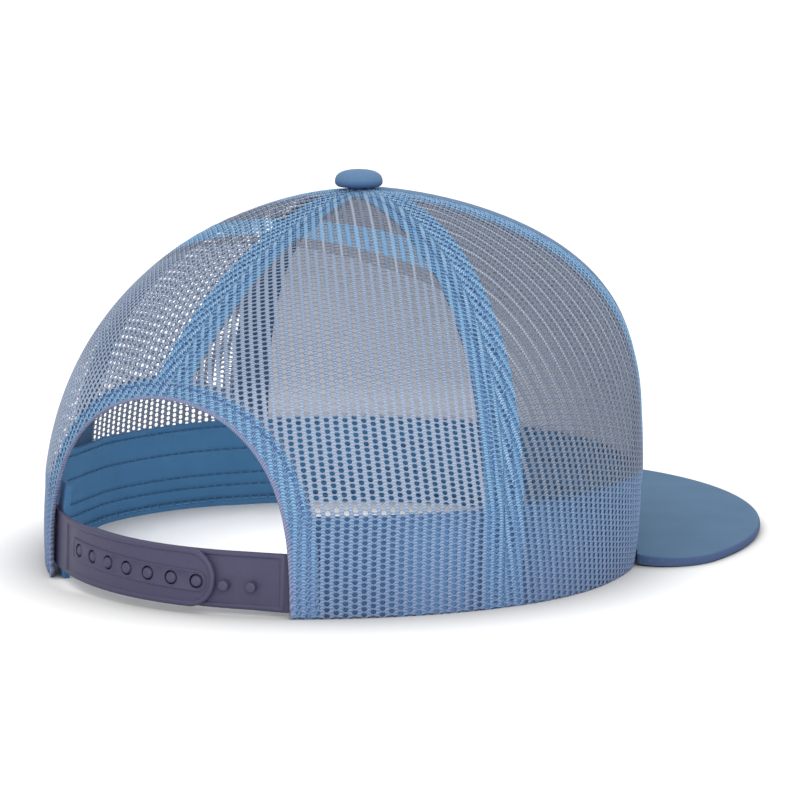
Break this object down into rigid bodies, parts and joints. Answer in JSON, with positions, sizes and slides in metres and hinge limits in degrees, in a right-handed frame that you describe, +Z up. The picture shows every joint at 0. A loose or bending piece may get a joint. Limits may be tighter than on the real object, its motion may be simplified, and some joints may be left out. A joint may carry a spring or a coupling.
{
  "type": "trucker cap",
  "caption": "Five-panel trucker cap with a foam front, knit mesh sides and back, a flat cloth peak, a rear arch and a fastened snap strap, resting on its rim.",
  "frame": {"origin": "middle of the underside, on the surface that the cap rests on", "axes": "+Z up through the crown, -Y towards the tip of the peak, +X towards the wearer's left"},
  "size_m": [0.2056, 0.2604, 0.1199],
  "materials": {
    "front_foam": "beige foam faced with blue cloth",
    "knit_mesh": "light blue knit net",
    "seam_tape": "blue woven tape",
    "sweatband_cloth": "plain blue cotton, stitched in rows",
    "strap_plastic": "dark purple-grey moulded plastic, satin",
    "peak_cloth": "blue cotton twill"
  },
  "bodies": {
    "root": {"front_panel": "front_foam", "side_panel_left": "knit_mesh", "side_panel_right": "knit_mesh", "rear_panel_left": "knit_mesh", "rear_panel_right": "knit_mesh", "seam_tape_back": "seam_tape", "seam_tape_side_left": "seam_tape", "seam_tape_side_right": "seam_tape", "seam_tape_front_left": "seam_tape", "seam_tape_front_right": "seam_tape", "arch_tape": "seam_tape", "sweatband": "sweatband_cloth", "strap_holes": "strap_plastic", "strap_pegs": "strap_plastic", "peak": "peak_cloth", "button": "peak_cloth"}
  },
  "joints": []
}
